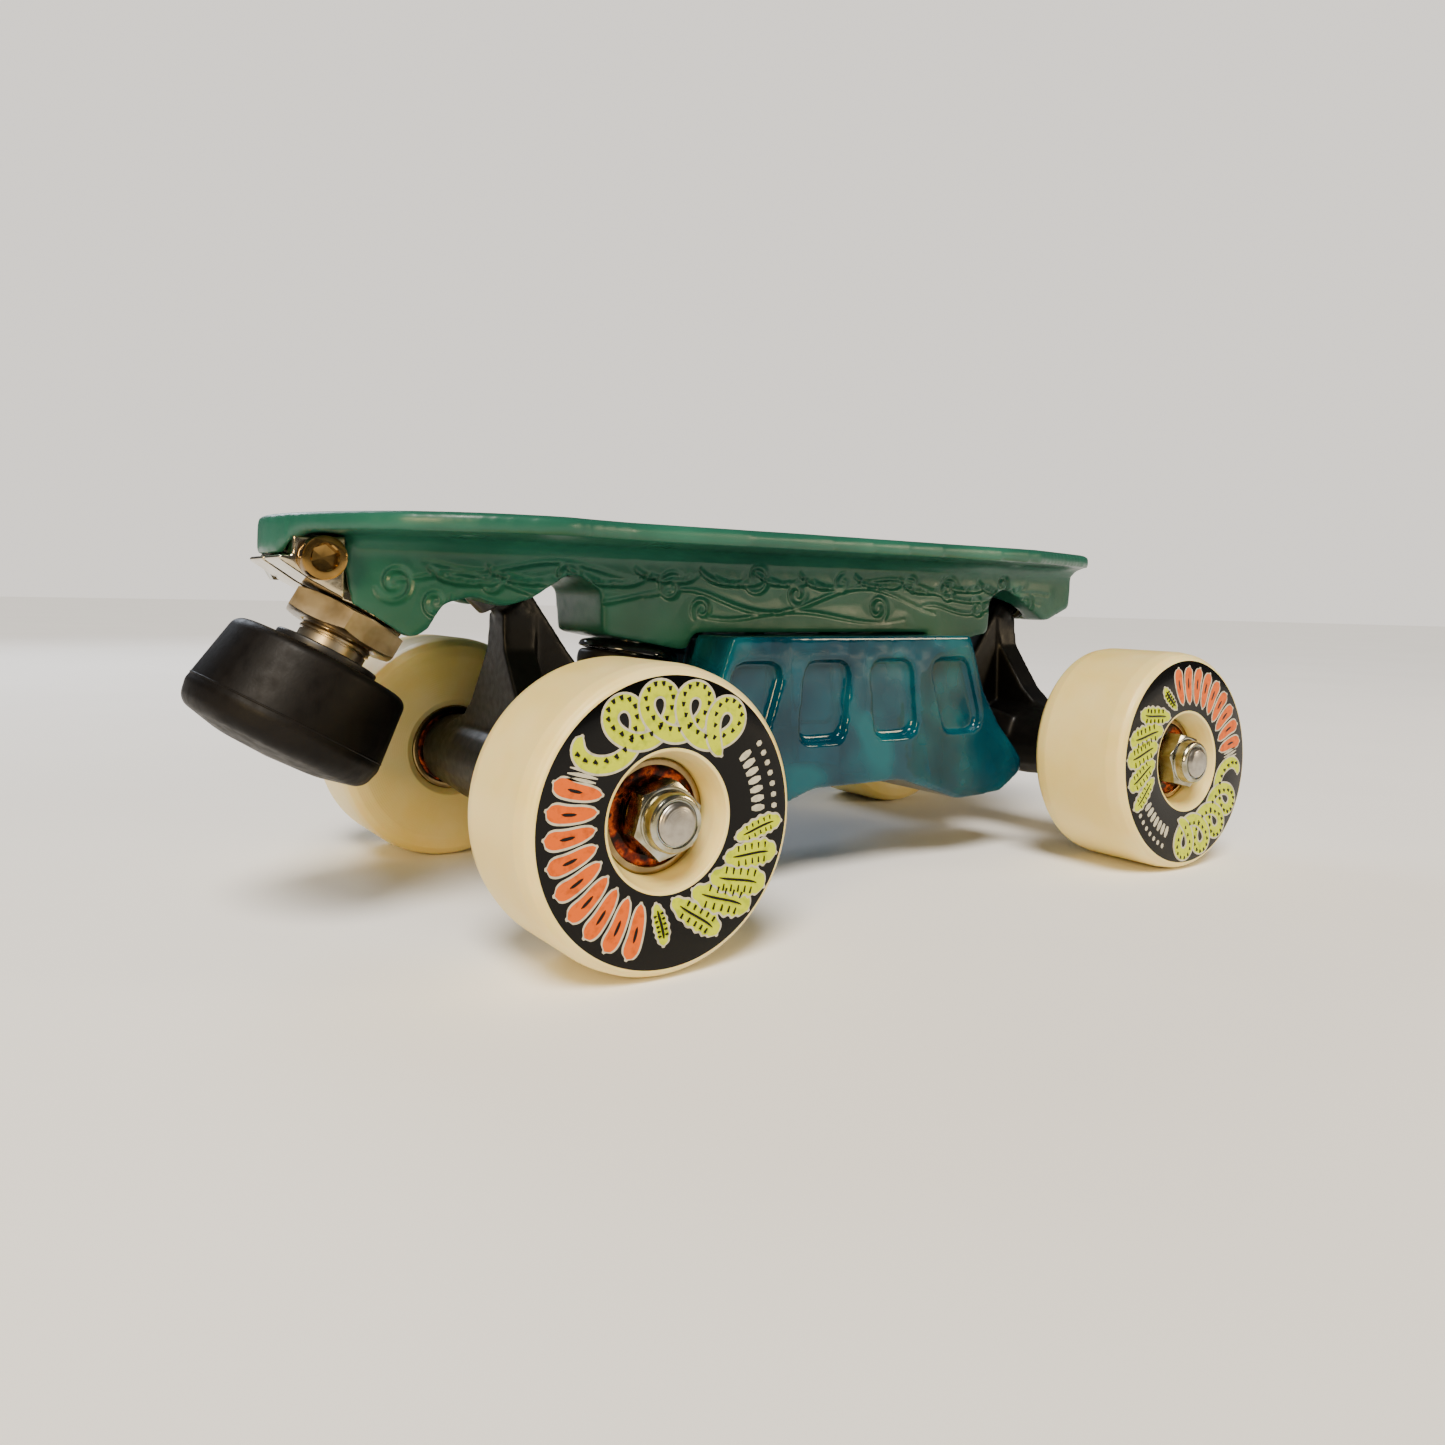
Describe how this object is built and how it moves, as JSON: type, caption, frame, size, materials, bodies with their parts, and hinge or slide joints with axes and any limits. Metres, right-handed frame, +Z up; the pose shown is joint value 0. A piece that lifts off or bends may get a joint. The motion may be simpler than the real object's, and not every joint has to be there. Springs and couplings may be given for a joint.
{
  "type": "roller skate chassis",
  "caption": "Roller skate plate with sprung steering trucks, urethane wheels on ball bearings, a slide block under the arch and a screw-in toe stop.",
  "frame": {"origin": "middle of the chassis's box on the floor, where the wheels stand", "axes": "+X from the toe to the heel, +Y across the skate to the far wheels, +Z up"},
  "size_m": [0.2638, 0.1442, 0.0855],
  "materials": {
    "green_nylon": "moulded, slight gloss",
    "teal_urethane": "cast, glossy, slightly see-through",
    "cream_urethane": "cast and turned, satin",
    "black_urethane": "cast, satin",
    "black_cast_alloy": "satin black powder coat",
    "gloss_black_steel": "gloss black",
    "zinc_steel": "zinc plated",
    "chromed_steel": "bright chrome",
    "bronze_steel": "bronze-tinted plating",
    "bearing_steel": "ground steel",
    "black_nylon": "moulded",
    "toe_rubber": "moulded, matte"
  },
  "bodies": {
    "root": {"baseplate": "green_nylon", "toe_stop_insert": "chromed_steel", "toe_clamp_screw": "bronze_steel", "toe_clamp_nut": "zinc_steel", "toe_stop_lock_nut": "zinc_steel", "slide_block": "teal_urethane", "slide_block_front_screw": "zinc_steel", "slide_block_rear_screw": "zinc_steel", "slide_block_front_nut": "zinc_steel", "slide_block_rear_nut": "zinc_steel", "front_kingpin": "zinc_steel", "front_pivot_cup": "black_nylon", "front_top_washer": "gloss_black_steel", "front_top_cushion": "black_urethane", "front_bottom_cushion": "black_urethane", "front_bottom_washer": "gloss_black_steel", "front_kingpin_nut": "zinc_steel", "rear_kingpin": "zinc_steel", "rear_pivot_cup": "black_nylon", "rear_top_washer": "gloss_black_steel", "rear_top_cushion": "black_urethane", "rear_bottom_cushion": "black_urethane", "rear_bottom_washer": "gloss_black_steel", "rear_kingpin_nut": "zinc_steel"},
    "front_near_wheel": {"front_near_tyre": "cream_urethane", "front_near_inner_bearing_outer_ring": "bearing_steel", "front_near_outer_bearing_outer_ring": "bearing_steel"},
    "front_far_wheel": {"front_far_tyre": "cream_urethane", "front_far_inner_bearing_outer_ring": "bearing_steel", "front_far_outer_bearing_outer_ring": "bearing_steel"},
    "front_truck": {"front_hanger": "black_cast_alloy", "front_axle": "zinc_steel", "front_near_inner_bearing_inner_ring": "bearing_steel", "front_near_outer_bearing_inner_ring": "bearing_steel", "front_near_spacer": "zinc_steel", "front_near_axle_nut": "zinc_steel", "front_far_inner_bearing_inner_ring": "bearing_steel", "front_far_outer_bearing_inner_ring": "bearing_steel", "front_far_spacer": "zinc_steel", "front_far_axle_nut": "zinc_steel"},
    "rear_near_wheel": {"rear_near_tyre": "cream_urethane", "rear_near_inner_bearing_outer_ring": "bearing_steel", "rear_near_outer_bearing_outer_ring": "bearing_steel"},
    "rear_far_wheel": {"rear_far_tyre": "cream_urethane", "rear_far_inner_bearing_outer_ring": "bearing_steel", "rear_far_outer_bearing_outer_ring": "bearing_steel"},
    "rear_truck": {"rear_hanger": "black_cast_alloy", "rear_axle": "zinc_steel", "rear_near_inner_bearing_inner_ring": "bearing_steel", "rear_near_outer_bearing_inner_ring": "bearing_steel", "rear_near_spacer": "zinc_steel", "rear_near_axle_nut": "zinc_steel", "rear_far_inner_bearing_inner_ring": "bearing_steel", "rear_far_outer_bearing_inner_ring": "bearing_steel", "rear_far_spacer": "zinc_steel", "rear_far_axle_nut": "zinc_steel"},
    "toe_stop_stem": {"toe_stop_stem": "zinc_steel"},
    "toe_stop_pad": {"toe_stop_rubber": "toe_rubber"}
  },
  "joints": [
    {"name": "front_steer", "type": "hinge", "parent": "root", "child": "front_truck", "pos_m": [-0.03342, 0, 0.04], "axis": [-0.7324, 0, 0.6809], "range_deg": [-8, 8], "stiffness_Nm_per_rad": 20, "deforming": ["front_top_cushion", "front_bottom_cushion"]},
    {"name": "rear_steer", "type": "hinge", "parent": "root", "child": "rear_truck", "pos_m": [0.07628, 0, 0.04], "axis": [0.7324, 0, 0.6809], "range_deg": [-8, 8], "stiffness_Nm_per_rad": 20, "deforming": ["rear_top_cushion", "rear_bottom_cushion"]},
    {"name": "front_near_spin", "type": "hinge", "parent": "front_truck", "child": "front_near_wheel", "pos_m": [-0.06007, -0.0545, 0.029], "axis": [0, 1, 0], "continuous": true},
    {"name": "front_far_spin", "type": "hinge", "parent": "front_truck", "child": "front_far_wheel", "pos_m": [-0.06007, 0.0545, 0.029], "axis": [0, 1, 0], "continuous": true},
    {"name": "rear_near_spin", "type": "hinge", "parent": "rear_truck", "child": "rear_near_wheel", "pos_m": [0.10293, -0.0545, 0.029], "axis": [0, 1, 0], "continuous": true},
    {"name": "rear_far_spin", "type": "hinge", "parent": "rear_truck", "child": "rear_far_wheel", "pos_m": [0.10293, 0.0545, 0.029], "axis": [0, 1, 0], "continuous": true},
    {"name": "toe_stop_travel", "type": "slide", "parent": "root", "child": "toe_stop_stem", "axis": [-0.4879, 0, -0.8729], "range_m": [-0.0029, 0.0072]},
    {"name": "toe_stop_turn", "type": "hinge", "parent": "toe_stop_stem", "child": "toe_stop_pad", "pos_m": [-0.10267, 0, 0.0592], "axis": [-0.4879, 0, -0.8729], "range_deg": [-720, 1800]}
  ],
  "couplings": [
    {"joint": "toe_stop_travel", "follows": "toe_stop_turn", "m_per_rad": 0.00022459}
  ]
}
